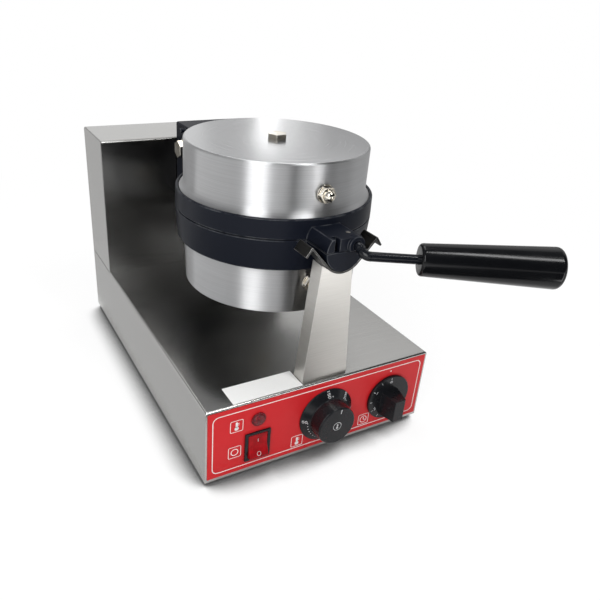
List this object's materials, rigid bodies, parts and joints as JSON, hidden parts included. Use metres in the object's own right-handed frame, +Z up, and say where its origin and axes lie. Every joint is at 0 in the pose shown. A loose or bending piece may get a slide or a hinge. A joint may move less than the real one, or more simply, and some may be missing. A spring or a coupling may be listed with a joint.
{
  "type": "waffle cone iron",
  "caption": "Turn-over waffle cone iron: round hinged cooking head with a side handle, held by a front saddle post and a rear tower bearing on a steel box with dials, a rocker switch and a lamp",
  "frame": {"origin": "centre of the front left foot's underside, on the worktop; the head's turning axis lies 97 mm to the right of it and 222.5 mm above it", "axes": "+X to the right along the front, +Y from the control panel to the tower, +Z up; seen from the side of the operator"},
  "size_m": [0.2841, 0.5144, 0.2925],
  "materials": {
    "stainless_sheet": "brushed",
    "nickelled_hardware": "nickel-plated, satin",
    "cast_body": "dark satin coating on castings",
    "waffle_plate": "seasoned",
    "red_film": "printed film",
    "red_plastic": "translucent",
    "lamp_plastic": "translucent",
    "black_plastic": "glossy",
    "black_rod": "gloss black",
    "ceramic": "matt ceramic-like moulding",
    "mineral_wool": "fibrous board",
    "bronze": "sintered",
    "white_plastic": "plain",
    "wire_sleeve": "glass-fibre sleeve",
    "foot_rubber": "matt"
  },
  "bodies": {
    "base": {"base_shell": "stainless_sheet", "bottom_plate": "stainless_sheet", "rubber_feet": "foot_rubber", "case_screws": "nickelled_hardware", "tower_shell": "stainless_sheet", "back_cover": "stainless_sheet", "control_film": "red_film", "name_label": "white_plastic", "post": "stainless_sheet", "saddle": "stainless_sheet", "post_bolts": "nickelled_hardware", "bearing_housing": "cast_body", "bearing_bush": "bronze", "housing_bolts": "nickelled_hardware", "thermostat_body": "ceramic", "timer_body": "black_plastic", "panel_nuts": "nickelled_hardware", "switch_body": "black_plastic", "lamp_lens": "lamp_plastic", "lamp_body": "black_plastic", "terminal_block": "ceramic", "wire_loom": "wire_sleeve", "cord_gland": "black_plastic", "gland_nut": "black_plastic", "thrust_washer": "white_plastic"},
    "head": {"trunnion_shaft": "nickelled_hardware", "stop_collar": "nickelled_hardware", "flange_bolts": "nickelled_hardware", "hinge_box": "cast_body", "box_cover": "cast_body", "cover_screws": "nickelled_hardware", "hinge_bolts": "nickelled_hardware", "lower_ring": "cast_body", "bracket_bolts": "nickelled_hardware", "lower_plate": "waffle_plate", "lower_heater": "nickelled_hardware", "lower_clamp": "stainless_sheet", "lower_wool": "mineral_wool", "lower_brackets": "stainless_sheet", "lower_drum": "stainless_sheet", "lower_drum_nuts": "nickelled_hardware", "lower_centre_bolt": "nickelled_hardware", "lower_conduit": "nickelled_hardware"},
    "lid": {"upper_ring": "cast_body", "upper_plate": "waffle_plate", "upper_heater": "nickelled_hardware", "upper_clamp": "stainless_sheet", "upper_wool": "mineral_wool", "upper_brackets": "stainless_sheet", "upper_drum": "stainless_sheet", "upper_drum_nuts": "nickelled_hardware", "upper_centre_bolt": "nickelled_hardware", "handle_rod": "black_rod", "handle_grip": "black_plastic", "rod_screw": "nickelled_hardware"},
    "thermostat_dial": {"thermostat_knob": "black_plastic", "thermostat_spindle": "nickelled_hardware"},
    "timer_dial": {"timer_knob": "black_plastic", "timer_spindle": "nickelled_hardware"},
    "rocker_switch": {"rocker": "red_plastic"}
  },
  "joints": [
    {"name": "head_turn", "type": "hinge", "parent": "base", "child": "head", "pos_m": [0.097, 0.272, 0.2225], "axis": [0, -1, 0], "range_deg": [0, 180]},
    {"name": "lid_open", "type": "hinge", "parent": "head", "child": "lid", "pos_m": [0.097, 0.232, 0.246], "axis": [1, 0, 0], "range_deg": [-100, 0]},
    {"name": "thermostat_turn", "type": "hinge", "parent": "base", "child": "thermostat_dial", "pos_m": [0.1, -0.028, 0.046], "axis": [0, 1, 0], "range_deg": [0, 270]},
    {"name": "timer_turn", "type": "hinge", "parent": "base", "child": "timer_dial", "pos_m": [0.1765, -0.028, 0.0445], "axis": [0, 1, 0], "range_deg": [0, 300]},
    {"name": "rocker_tilt", "type": "hinge", "parent": "base", "child": "rocker_switch", "pos_m": [0.0245, -0.0271, 0.035], "axis": [1, 0, 0], "range_deg": [0, 22]}
  ]
}
